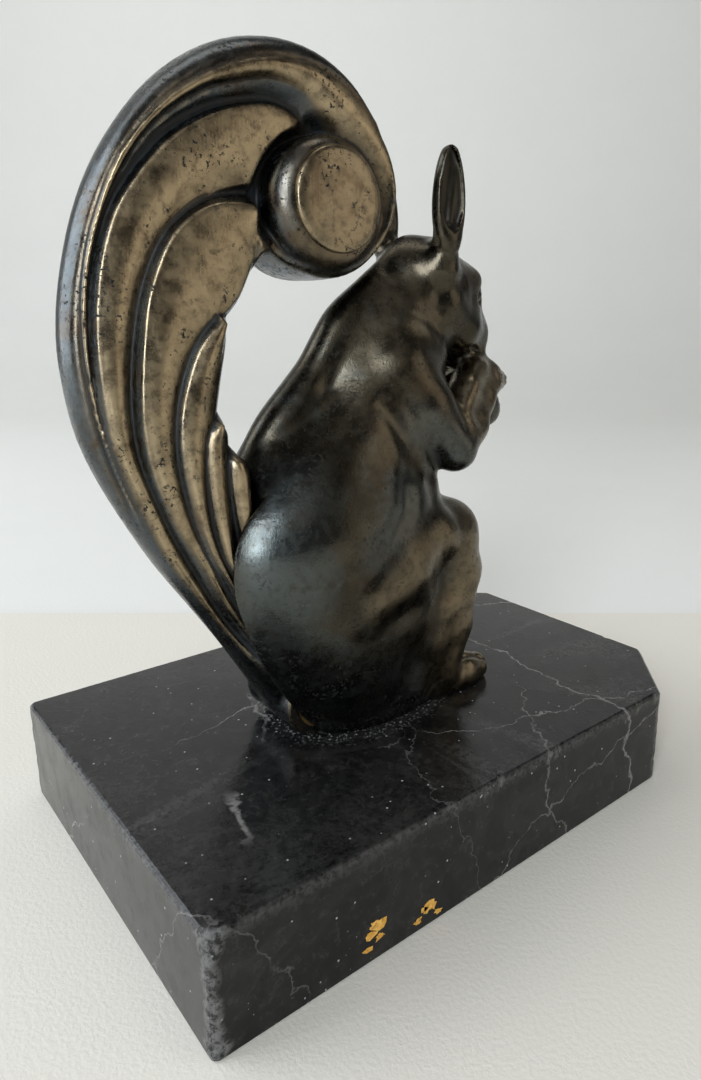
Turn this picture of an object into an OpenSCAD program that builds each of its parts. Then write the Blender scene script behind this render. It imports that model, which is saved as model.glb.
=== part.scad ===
// Squirrel nutcracker: a cast bronze squirrel on a marble slab, whose curled tail is the lever.
// Frame: origin on the underside of the slab at its centre, +X is the way the squirrel faces,
// +Y is the squirrel's left, +Z is up.  All sizes are in millimetres.

/* [Marble slab] */
// Length of the slab, front to back
slab_l = 173; // [168:1:180]
// Width of the slab
slab_w = 117; // [110:1:124]
// Thickness of the slab
slab_t = 30; // [28:1:34]
// Leg of the 45 degree cut across each front corner
corner_cut = 22; // [12:1:28]
// Bevel along the upper edges
edge_bevel = 1; // [0.5:0.1:2]

/* [Tail hinge] */
// Distance of the tail hinge from the rear edge of the slab
hinge_from_rear = 57; // [55:1:60]
// Height of the hinge axis above the slab
hinge_h = 9.5; // [9.5:0.1:10]
// Radius of the round heel of the tail about the hinge
heel_r = 9.2; // [9:0.1:9.2]
// Radius of the hinge pin
pin_r = 3; // [2.5:0.1:3.2]
// Half width of the tail where it enters the slot in the body
heel_half = 11.6; // [11.4:0.1:11.6]
// Half width of the slot between the haunches
slot_half = 12.5; // [12.5:0.1:12.8]

/* [Tail relief] */
// Half thickness of the thin outer rim
rim_half = 3.5; // [3:0.5:4.5]
// Half thickness of the outermost lock, inside the rim
lock1_half = 5.5; // [5:0.5:6.5]
// Half thickness of the second lock
lock2_half = 8; // [7.5:0.5:9]
// Half thickness of the third lock
lock3_half = 10.5; // [10:0.5:11]
// Half thickness of the short inner locks
lock4_half = 11.6; // [11:0.2:11.6]

/* [Scroll] */
// Radius of the rolled end of the tail
scroll_r = 21.5; // [21:0.5:22.5]
// Half width of the rolled end
scroll_half = 11.8; // [11:0.2:12.5]
// Radius of the drum that carries each roundel
drum_r = 15; // [14:0.5:15.5]
// Distance from the middle plane to the outer face of a roundel
roundel_out = 16; // [15.6:0.2:17]
// Radius of a roundel
roundel_r = 11; // [10:0.5:11.5]

/* [Fasteners] */
// Radius of the studs that hold the body to the slab
stud_r = 3; // [2.5:0.25:3]
// Distances of the rear and front studs ahead of the hinge
stud_x = [18, 38];
// Radius of the counterbores under the slab
counterbore_r = 8.5; // [7.5:0.5:9]
// Depth of the counterbores under the slab
counterbore_d = 12; // [10:1:14]

/* [Hidden] */

bronze = "#5a4a30";
dark_bronze = "#3b342a";
marble = "#26272a";
steel = "#9a9ca0";

fine = 96;            // facets of a round feature that fits or turns
soft = 24;            // facets of a rounded casting form
fit = 0.02;           // radial clearance of a pressed or glued fit
run = 0.06;           // radial clearance of the turning fit
far = 120;            // longer than any part of the figure
left = 1;             // side factors along Y
right = -1;
washer_t = 0.8;       // friction washer
washer_r = 6.5;
stud_depth = 14;      // how far a stud goes up into the body
flat_washer_r = 6.5;
flat_washer_t = 1.5;
nut_r = 10 / sqrt(3); // corner radius of a nut 10 mm across flats
nut_h = 5;
pin_end = 15.6;       // half length of the hinge pin
plug_end = 16.6;      // outer face of the plugs that hide the pin

// The figure is drawn in its own frame: origin on the slab, below the hinge.
module on_slab() translate([hinge_from_rear - slab_l / 2, 0, slab_t]) children();

// A cylinder along Y between two distances from the middle plane, on the side s.
module cross_pin(x, z, r, y0, y1, s = left, n = fine)
    translate([x, s * y0, z]) rotate([-90 * s, 0, 0]) cylinder(r = r, h = y1 - y0, $fn = n);

// A plate parallel to the middle plane, of half thickness h, from an outline in X and Z.
module plate(outline, h) translate([0, h, 0]) rotate([90, 0, 0])
    linear_extrude(height = 2 * h) polygon(outline);

// A smooth curve through the points p, with n steps in each span.
function span(a, b, c, d, t) = 0.5 * (2 * b + (c - a) * t
    + (2 * a - 5 * b + 4 * c - d) * pow(t, 2) + (3 * b - a - 3 * c + d) * pow(t, 3));
function curve(p, n) = let (e = len(p) - 1)
    [for (i = [0 : e - 1], k = [0 : n - 1])
        span(p[max(i - 1, 0)], p[i], p[i + 1], p[min(i + 2, e)], k / n), p[e]];

// The curve p moved sideways by d, to the right of its direction.
function shifted(p, d) = [for (i = [0 : len(p) - 1])
    let (t = p[min(i + 1, len(p) - 1)] - p[max(i - 1, 0)]) p[i] + d * [t[1], -t[0]] / norm(t)];

// A ring round a vertical axis: c is [height, centre X, half depth, half width].
ring_n = 32;
ring_power = 2.2;
function bulge(v) = sign(v) * pow(abs(v), 2 / ring_power);
function ring(c) = [for (k = [0 : ring_n - 1]) let (a = 360 * k / ring_n)
    [c[1] + c[2] * bulge(cos(a)), c[3] * bulge(sin(a)), c[0]]];

// A closed skin over a stack of rings.
module skin(rings) {
    m = len(rings);
    n = len(rings[0]);
    faces = concat([[for (k = [0 : n - 1]) k]],
        [for (i = [0 : m - 2], k = [0 : n - 1]) let (j = (k + 1) % n)
            [i * n + k, (i + 1) * n + k, (i + 1) * n + j, i * n + j]],
        [[for (k = [n - 1 : -1 : 0]) (m - 1) * n + k]]);
    polyhedron([for (r = rings, q = r) q], faces, convexity = 6);
}

// ---- Marble slab ----

module slab_outline() polygon([
    [-slab_l / 2, -slab_w / 2], [slab_l / 2 - corner_cut, -slab_w / 2],
    [slab_l / 2, -slab_w / 2 + corner_cut], [slab_l / 2, slab_w / 2 - corner_cut],
    [slab_l / 2 - corner_cut, slab_w / 2], [-slab_l / 2, slab_w / 2]]);

// Takes a 45 degree bevel off the upper edge that lies at distance d in the direction a.
module bevel_cut(a, d) rotate([0, 0, a]) translate([d, 0, slab_t]) rotate([0, 45, 0])
    cube([edge_bevel * sqrt(2), 2 * far, edge_bevel * sqrt(2)], center = true);

module marble_slab() {
    cut_d = (slab_l / 2 + slab_w / 2 - corner_cut) / sqrt(2);
    color(marble) difference() {
        linear_extrude(height = slab_t) slab_outline();
        for (a = [0, 180]) bevel_cut(a, slab_l / 2);
        for (a = [90, -90]) bevel_cut(a, slab_w / 2);
        for (a = [45, -45]) bevel_cut(a, cut_d);
        for (x = stud_x) translate([x + hinge_from_rear - slab_l / 2, 0, 0]) {
            translate([0, 0, -1]) cylinder(r = stud_r + 0.5, h = slab_t + 2, $fn = fine);
            translate([0, 0, -1]) cylinder(r = counterbore_r, h = counterbore_d + 1, $fn = fine);
        }
    }
}

// ---- Body casting ----

// Heights, centres, half depths and half widths of the torso with its haunches.
torso_rings = [[0, 20, 24.5, 20.5], [8, 17.5, 28.5, 22], [20, 15, 32.5, 24.5], [36, 13, 37, 26],
    [50, 11, 38, 26], [63, 10.5, 35, 24], [77, 17, 29.5, 20], [88, 26, 23.5, 17.5],
    [100, 32, 20, 16], [110, 35, 17.5, 14], [120, 41, 13, 11], [128, 46, 9, 7]];

module torso() skin([for (c = curve(torso_rings, 2)) ring(c)]);

// Thigh and shin of one hind leg, from the haunch over the knee to the ankle.
module hind_leg(s) hull() {
    translate([46.5, 12 * s, 48]) sphere(r = 9.5, $fn = soft);
    translate([48.3, 12.5 * s, 38]) sphere(r = 9.5, $fn = soft);
    translate([20, 10 * s, 34]) sphere(r = 13, $fn = soft);
    translate([43, 13 * s, 9]) sphere(r = 7.5, $fn = soft);
}

module casting() {
    torso();
    for (s = [left, right]) hind_leg(s);
}

// Side view of the slot for the tail: it follows the front edge of the tail at a small distance.
slot_outline = [[-far, -1], [8, -1], [9.8, 6], [9.8, 13], [3, 21.5], [-7, 31], [-14.2, 45.5],
    [-17.1, 60], [-17.1, 74.5], [-18.5, 79], [-far, 79]];

module body() color(dark_bronze) on_slab() difference() {
    casting();
    plate(slot_outline, slot_half);
    for (s = [left, right]) cross_pin(0, hinge_h, pin_r + fit, 10, 30, s);
    for (x = stud_x) translate([x, 0, -1]) cylinder(r = stud_r + fit, h = stud_depth + 1.3, $fn = fine);
}

// ---- Head, ears and limbs ----

module skull() hull() {
    translate([46, 0, 121]) sphere(r = 13, $fn = soft);
    translate([57.5, 0, 118.5]) sphere(r = 9, $fn = soft);
    translate([64.5, 0, 104.5]) sphere(r = 6.5, $fn = soft);
    translate([54, 0, 109]) sphere(r = 8, $fn = soft);
}

module head() color(dark_bronze) on_slab() difference() {
    skull();
    casting();
}

// One upright ear: a leaf-shaped plate with a shallow hollow on its outer face.
ear_h = 27;
ear_w = 7.6;
ear_steps = 24;
function leaf(h, w) = [for (k = [0 : ear_steps - 1]) let (a = 360 * k / ear_steps)
    [w / 2 * sin(a) * (1 - 0.18 * cos(a)), h / 2 * (1 - cos(a))]];

module ear(s) color(dark_bronze) on_slab() difference() {
    translate([45.5, 12 * s, 127.5]) rotate([-5 * s, -4, 0]) difference() {
        plate(leaf(ear_h, ear_w), 1.8);
        translate([0, 1.8 * s, 4]) plate(leaf(ear_h - 6, ear_w - 2.4), 1.1);
    }
    skull();
}

// One foreleg, from the shoulder to the elbow and up to the paw at the mouth.
module foreleg_form(s) {
    hull() {
        translate([33, 11 * s, 96]) sphere(r = 8, $fn = soft);
        translate([45, 15.5 * s, 74.5]) sphere(r = 6, $fn = soft);
    }
    hull() {
        translate([45, 15.5 * s, 74.5]) sphere(r = 6, $fn = soft);
        translate([61, 8.5 * s, 86]) sphere(r = 4.5, $fn = soft);
    }
    hull() {
        translate([61, 8.5 * s, 86]) sphere(r = 4.5, $fn = soft);
        translate([73, 5 * s, 91]) sphere(r = 3.6, $fn = soft);
    }
}

module held_nut_form() translate([66.5, 0, 91.5]) sphere(r = 4.8, $fn = fine);

module foreleg(s) color(bronze) on_slab() difference() {
    foreleg_form(s);
    casting();
    skull();
    held_nut_form();
    translate([-far, -far - s * far, 0]) cube([3 * far, 2 * far, 2 * far]);
}

module held_nut() color(bronze) on_slab() difference() {
    held_nut_form();
    skull();
}

// One hind foot, flat on the slab.
module foot(s) color(bronze) on_slab() difference() {
    hull() {
        translate([38, 13 * s, 3]) sphere(r = 6, $fn = soft);
        translate([56, 13 * s, 4]) sphere(r = 5.5, $fn = soft);
    }
    casting();
    translate([-far, -far, -2 * far]) cube(2 * far);
}

// ---- Tail lever ----

crown = curve([[-7.8, 4.6], [-12.6, 13], [-20.8, 27.2], [-29.8, 41.5], [-38, 54.5], [-46.4, 70.5],
    [-52, 85], [-54, 99], [-53.8, 110], [-51.5, 122], [-47, 135.5], [-40, 148], [-30, 160],
    [-18, 168.5], [-6, 172], [6, 171], [16, 166], [24, 157.5]], 3);
front_edge = [[9, 143], [-7.5, 126], [-11, 122], [-14, 115.5], [-17, 111.5], [-19.5, 109.5],
    [-19.2, 106], [-20, 100], [-21.5, 92], [-22.5, 87], [-21.2, 84.5], [-20.3, 79], [-18.5, 77.5],
    [-17.6, 74], [-17.6, 60], [-14.8, 45], [-7.5, 30], [2, 20.5], [7, 15]];
crest2 = curve([[-6, 12], [-13, 22], [-21, 34], [-28, 44], [-34.5, 55.5], [-40.5, 68], [-45, 80.5],
    [-47.2, 93], [-47, 105], [-44.5, 117.5], [-40.5, 128.5], [-34, 139], [-25.5, 147.5],
    [-15, 153.5], [-6, 155.5], [1, 152]], 2);
crest3 = curve([[-5, 14], [-17, 28], [-25, 40], [-32, 53], [-37.2, 68], [-40.4, 82], [-40.8, 94],
    [-39.3, 106], [-35, 118], [-28.5, 127.5], [-20, 134.5], [-12, 138.5], [-5, 140]], 2);
crest4 = curve([[-13, 25], [-21, 36], [-27.5, 49], [-32.2, 65], [-34.4, 80], [-33.5, 92],
    [-30, 103.5], [-24.5, 109]], 2);

// The part of the front edge from its point i down to the heel, set back by d.
function front_from(i, d) = let (p = shifted(front_edge, d))
    [for (k = [i : len(p) - 1]) p[k]];

scroll_at = [7.6, 142];
drum_at = [8.3, 138];
drum_bulge = 14.8;    // half width of the drum at its flat ends
scroll_side = [[0, 0], [scroll_r, 0], [scroll_r, 4], [scroll_r - 0.5, 8], [scroll_r - 2, scroll_half],
    [0, scroll_half]];
drum_side = concat([[0, 6], [drum_r, 6]],
    [for (a = [0 : 15 : 90]) [roundel_r + 1 + (drum_r - roundel_r - 1) * cos(a), 8 + (drum_bulge - 8) * sin(a)]],
    [[roundel_r, drum_bulge], [roundel_r, drum_bulge - 0.6], [0, drum_bulge - 0.6]]);

// A form turned about an axis along Y at the point p, on the side s.
module turned(p, s, outline) translate([p[0], 0, p[1]]) rotate([-90 * s, 0, 0])
    rotate_extrude($fn = fine) polygon(outline);

module tail_lever() color(bronze) on_slab() difference() {
    union() {
        plate(concat(crown, front_edge), rim_half);
        plate(concat(shifted(crown, 3), front_edge), lock1_half);
        plate(concat(crest2, front_from(0, 1)), lock2_half);
        plate(concat(crest3, front_from(1, 2.5)), lock3_half);
        plate(concat(crest4, front_from(6, 4)), lock4_half);
        for (s = [left, right]) {
            intersection() {
                turned(scroll_at, s, scroll_side);
                translate([-1, -far, scroll_at[1] - 2 * scroll_r]) rotate([0, -8, 0]) cube(2 * far);
            }
            turned(drum_at, s, drum_side);
        }
        translate([0, heel_half, hinge_h]) rotate([90, 0, 0])
            cylinder(r = heel_r, h = 2 * heel_half, $fn = fine);
    }
    translate([0, far, hinge_h]) rotate([90, 0, 0]) cylinder(r = pin_r + run, h = 2 * far, $fn = fine);
}

module roundel(s) color(bronze) on_slab()
    cross_pin(drum_at[0], drum_at[1], roundel_r - fit, drum_bulge - 0.6, roundel_out, s);

// ---- Hinge ----

module pivot_pin() color(steel) on_slab() cross_pin(0, hinge_h, pin_r, -pin_end, pin_end);

module pin_plug(s) color(dark_bronze) on_slab() cross_pin(0, hinge_h, pin_r, pin_end, plug_end, s);

module friction_washer(s) color("#b08d57") on_slab() difference() {
    cross_pin(0, hinge_h, washer_r, slot_half - washer_t, slot_half, s);
    cross_pin(0, hinge_h, pin_r + run, 0, far, s);
}

// ---- Studs, washers and nuts under the slab ----

washer_top = counterbore_d;
nut_top = washer_top - flat_washer_t;

module at_stud(i) translate([stud_x[i] + hinge_from_rear - slab_l / 2, 0, 0]) children();

module stud(i) color(steel) at_stud(i) translate([0, 0, nut_top - nut_h - 1])
    cylinder(r = stud_r, h = slab_t + stud_depth - nut_top + nut_h + 1, $fn = fine);

module flat_washer(i) color(steel) at_stud(i) difference() {
    translate([0, 0, nut_top]) cylinder(r = flat_washer_r, h = flat_washer_t, $fn = fine);
    cylinder(r = stud_r + 0.2, h = far, $fn = fine);
}

module hex_nut(i) color(steel) at_stud(i) difference() {
    translate([0, 0, nut_top - nut_h]) cylinder(r = nut_r, h = nut_h, $fn = 6);
    cylinder(r = stud_r + fit, h = far, $fn = fine);
}

marble_slab();
body();
head();
ear(left);  // left_ear
ear(right);  // right_ear
foreleg(left);  // left_foreleg
foreleg(right);  // right_foreleg
held_nut();
foot(left);  // left_foot
foot(right);  // right_foot
tail_lever();
roundel(left);  // left_roundel
roundel(right);  // right_roundel
pivot_pin();
pin_plug(left);  // left_pin_plug
pin_plug(right);  // right_pin_plug
friction_washer(left);  // left_friction_washer
friction_washer(right);  // right_friction_washer
stud(0);  // rear_stud
stud(1);  // front_stud
flat_washer(0);  // rear_washer
flat_washer(1);  // front_washer
hex_nut(0);  // rear_nut
hex_nut(1);  // front_nut
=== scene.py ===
import math
import bmesh
import bpy
import numpy as np
from mathutils import Matrix, Vector


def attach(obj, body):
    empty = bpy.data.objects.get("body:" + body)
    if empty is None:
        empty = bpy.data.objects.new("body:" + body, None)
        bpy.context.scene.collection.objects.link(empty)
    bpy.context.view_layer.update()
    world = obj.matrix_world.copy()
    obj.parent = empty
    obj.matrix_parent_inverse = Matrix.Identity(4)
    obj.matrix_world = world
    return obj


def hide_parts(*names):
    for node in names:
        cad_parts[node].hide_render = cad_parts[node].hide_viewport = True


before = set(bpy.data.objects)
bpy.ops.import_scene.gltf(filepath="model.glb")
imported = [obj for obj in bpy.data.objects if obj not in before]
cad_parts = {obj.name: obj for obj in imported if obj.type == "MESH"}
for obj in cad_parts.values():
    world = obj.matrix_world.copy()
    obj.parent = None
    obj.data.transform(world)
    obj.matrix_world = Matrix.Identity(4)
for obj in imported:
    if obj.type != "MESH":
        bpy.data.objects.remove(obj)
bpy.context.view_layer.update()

# The sculpted forms are drawn in the figure's own frame, in millimetres: origin on the slab below
# the tail's hinge, +X the way the squirrel faces, +Y its left, +Z up.
FIGURE_AT = np.array([-0.0295, 0.0, 0.030])
BEHIND = 29.5  # the figure's origin is this far behind the middle of the slab
HINGE = 9.5  # height of the hinge's axis
SLOT_HALF = 12.5  # the slot in the body's back, which takes the tail
HEEL_R, HEEL_HALF, HEEL_BORE = 9.2, 11.6, 3.06  # the tail's round heel and the hole for its pin


# ---- Fields: negative inside, in millimetres ----

def held(a):
    """a, held between 0 and 1."""
    return np.clip(a, 0, 1)


def smin(a, b, k):
    h = np.maximum(k - np.abs(a - b), 0) / k
    return np.minimum(a, b) - h * h * k * 0.25


def smax(a, b, k):
    return -smin(-a, -b, k)


def bone(p, a, b):
    """A cone with round ends between two balls (x, y, z, radius)."""
    x, y, z = p
    d = [b[i] - a[i] for i in range(3)]
    t = ((x - a[0]) * d[0] + (y - a[1]) * d[1] + (z - a[2]) * d[2]) / sum(v * v for v in d)
    t = held(t)
    q = (x - a[0] - t * d[0]) ** 2 + (y - a[1] - t * d[1]) ** 2 + (z - a[2] - t * d[2]) ** 2
    return np.sqrt(q) - (a[3] + (b[3] - a[3]) * t)


def limb(p, balls, k=2.0):
    out = bone(p, balls[0], balls[1])
    for a, b in zip(balls[1:], balls[2:]):
        out = smin(out, bone(p, a, b), k)
    return out


def egg(p, c, r, tilt=0.0):
    """An ellipsoid; tilt turns it about Y, in degrees."""
    s, o = math.sin(math.radians(tilt)), math.cos(math.radians(tilt))
    x, y, z = p[0] - c[0], p[1] - c[1], p[2] - c[2]
    x, z = o * x + s * z, o * z - s * x
    k0 = np.sqrt((x / r[0]) ** 2 + (y / r[1]) ** 2 + (z / r[2]) ** 2) + 1e-6
    k1 = np.sqrt((x / r[0] ** 2) ** 2 + (y / r[1] ** 2) ** 2 + (z / r[2] ** 2) ** 2) + 1e-6
    return k0 * (k0 - 1) / k1


def stroke(p, points, width, depth):
    """How far a soft groove along the points lowers the surface (negative depth raises it)."""
    d = None
    for a, b in zip(points, points[1:]):
        e = bone(p, (*a, 0.0), (*b, 0.0))
        d = e if d is None else np.minimum(d, e)
    return depth * np.exp(-(d / width) ** 2)


def smooth(points, n=4):
    """A Catmull-Rom curve through the points."""
    p = np.array(points, float)
    q = np.vstack([2 * p[0] - p[1], p, 2 * p[-1] - p[-2]])
    t = np.linspace(0, 1, n, endpoint=False)[:, None]
    out = []
    for a, b, c, d in zip(q, q[1:], q[2:], q[3:]):
        out.append(0.5 * (2 * b + (c - a) * t + (2 * a - 5 * b + 4 * c - d) * t ** 2
                          + (3 * b - a - 3 * c + d) * t ** 3))
    return np.vstack(out + [p[-1:]])


# ---- Surface of a field ----

CORNERS = [(a, b, d) for a in (0, 1) for b in (0, 1) for d in (0, 1)]


def nets(field, low, high, step, block=8):
    """Vertices and four-sided faces of the surface where field is zero, inside a box."""
    low, high = np.array(low, float), np.array(high, float)
    nb = np.ceil((high - low) / (step * block)).astype(int)
    n = nb * block
    c = [low[i] + step * (block * np.arange(nb[i]) + (block - 1) / 2) for i in range(3)]
    grid = np.meshgrid(*c, indexing="ij")
    rough = field([g.ravel().astype(np.float32) for g in grid]).reshape(nb)
    # away from the surface a block needs only its sign
    f = np.sign(rough) * 1e3
    for axis in range(3):
        f = np.repeat(f, block, axis)
    f = f.astype(np.float32)
    close = np.argwhere(np.abs(rough) < step * block * 1.6)
    o = np.arange(block)
    ox, oy, oz = [v.ravel() for v in np.meshgrid(o, o, o, indexing="ij")]
    for part in np.array_split(close, max(1, len(close) // 3000)):
        i = part[:, 0:1] * block + ox
        j = part[:, 1:2] * block + oy
        k = part[:, 2:3] * block + oz
        p = [(low[0] + step * i).astype(np.float32), (low[1] + step * j).astype(np.float32),
             (low[2] + step * k).astype(np.float32)]
        f[i, j, k] = field(p)
    inside = f < 0
    count = np.zeros(n - 1, np.int8)
    for a, b, d in CORNERS:
        count += inside[a:n[0] - 1 + a, b:n[1] - 1 + b, d:n[2] - 1 + d]
    cells = np.argwhere((count > 0) & (count < 8))
    ident = np.full(n - 1, -1, np.int32)
    ident[tuple(cells.T)] = np.arange(len(cells))
    total = np.zeros((len(cells), 3))
    hits = np.zeros(len(cells))
    corner = {(a, b, d): f[cells[:, 0] + a, cells[:, 1] + b, cells[:, 2] + d] for a, b, d in CORNERS}
    for key, v0 in corner.items():
        for axis in range(3):
            if key[axis]:
                continue
            other = list(key)
            other[axis] = 1
            v1 = corner[tuple(other)]
            cross = (v0 < 0) != (v1 < 0)
            t = np.where(cross, v0 / np.where(cross, v0 - v1, 1), 0)
            for m in range(3):
                total[:, m] += cross * (t if m == axis else key[m])
            hits += cross
    verts = low + step * (cells + total / hits[:, None])
    faces = []
    for axis in range(3):
        u, v = (axis + 1) % 3, (axis + 2) % 3
        a = [slice(1, m - 1) for m in n]
        a[axis] = slice(0, n[axis] - 1)
        b = list(a)
        b[axis] = slice(1, n[axis])
        s0, s1 = inside[tuple(a)], inside[tuple(b)]
        for first in (True, False):
            e = np.argwhere((s0 & ~s1) if first else (~s0 & s1)) + [s.start for s in a]
            def at(du, dv):
                q = e.copy()
                q[:, u] += du
                q[:, v] += dv
                return ident[tuple(q.T)]
            quad = [at(-1, -1), at(0, -1), at(0, 0), at(-1, 0)]
            faces.append(np.stack(quad if first else quad[::-1], 1))
    return verts, np.vstack(faces)


def slopes(field, v, e=0.08):
    """Gradient of the field at the points v."""
    g = []
    for i in range(3):
        a, b = v.copy(), v.copy()
        a[:, i] += e
        b[:, i] -= e
        g.append((field(list(a.T)) - field(list(b.T))) / (2 * e))
    return np.stack(g, 1)


def settle(field, v, limit, rounds=2):
    """Moves the points v onto the surface of the field, each by no more than limit."""
    for _ in range(rounds):
        f = field(list(v.T))
        g = slopes(field, v)
        move = -(f / np.maximum((g ** 2).sum(1), 0.05))[:, None] * g
        size = np.linalg.norm(move, axis=1, keepdims=True)
        v = v + move * np.minimum(1, limit / np.maximum(size, 1e-9))
    return v


# ---- The squirrel's figure ----

# Height, centre X, half depth and half width of the torso with its haunches.
RINGS = np.array([
    [-4, 20.5, 23.5, 19.5], [0, 20, 24.6, 19.6], [8, 17, 28.6, 21], [20, 14, 33, 23.2], [36, 12, 37.6, 25.4],
    [50, 10.5, 38.7, 26.4], [63, 11, 35.8, 24.8], [77, 17.5, 28, 20], [88, 27, 22, 17.3],
    [100, 33, 18.5, 15.4], [110, 36.5, 15.5, 13], [120, 42, 11.5, 10.5], [128, 46, 8.5, 7]])
TORSO = smooth(RINGS, 8)
SPINE = smooth([(41.9, 0, 128, 4), (34.5, 0, 121.9, 4.7), (26.9, 0, 115.4, 5.3), (19.9, 0, 109.5, 5.6),
                (15.7, 0, 103.3, 5.8), (11.4, 0, 96.8, 5.9), (4.9, 0, 89.7, 6.1), (-2.1, 0, 82.3, 6.1),
                (-8.4, 0, 73.7, 5.6)], 3)
SPINE_GROOVE = smooth([(41, 4, 129), (36, 3.2, 125), (30, 2.8, 120), (23.8, 3, 114.5), (18.6, 3.6, 108),
                       (14, 4.6, 101), (9.6, 6, 94.2)], 2)


# Thigh, shin, calf and the bulk between them, each with how softly it joins what is there.
HAUNCH = [
    (4.0, [(9, 18.2, 38.5, 8), (22, 17.2, 45, 9.2), (36, 14, 51, 9.8), (46.5, 11.3, 49, 9.3)]),
    (3.5, [(46, 11.3, 50, 9.4), (48, 12, 38, 9.3), (44.6, 13.3, 22, 8.4), (41, 13.6, 8, 7.4)]),
    (4, [(44, 13.5, 44, 7.6), (38.5, 14.6, 30, 7.6), (34, 15, 20, 7.2), (28, 14.6, 8, 7)]),
    (4, [(26, 8, 32, 15.5), (38, 8, 14, 11)]),
]


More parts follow.
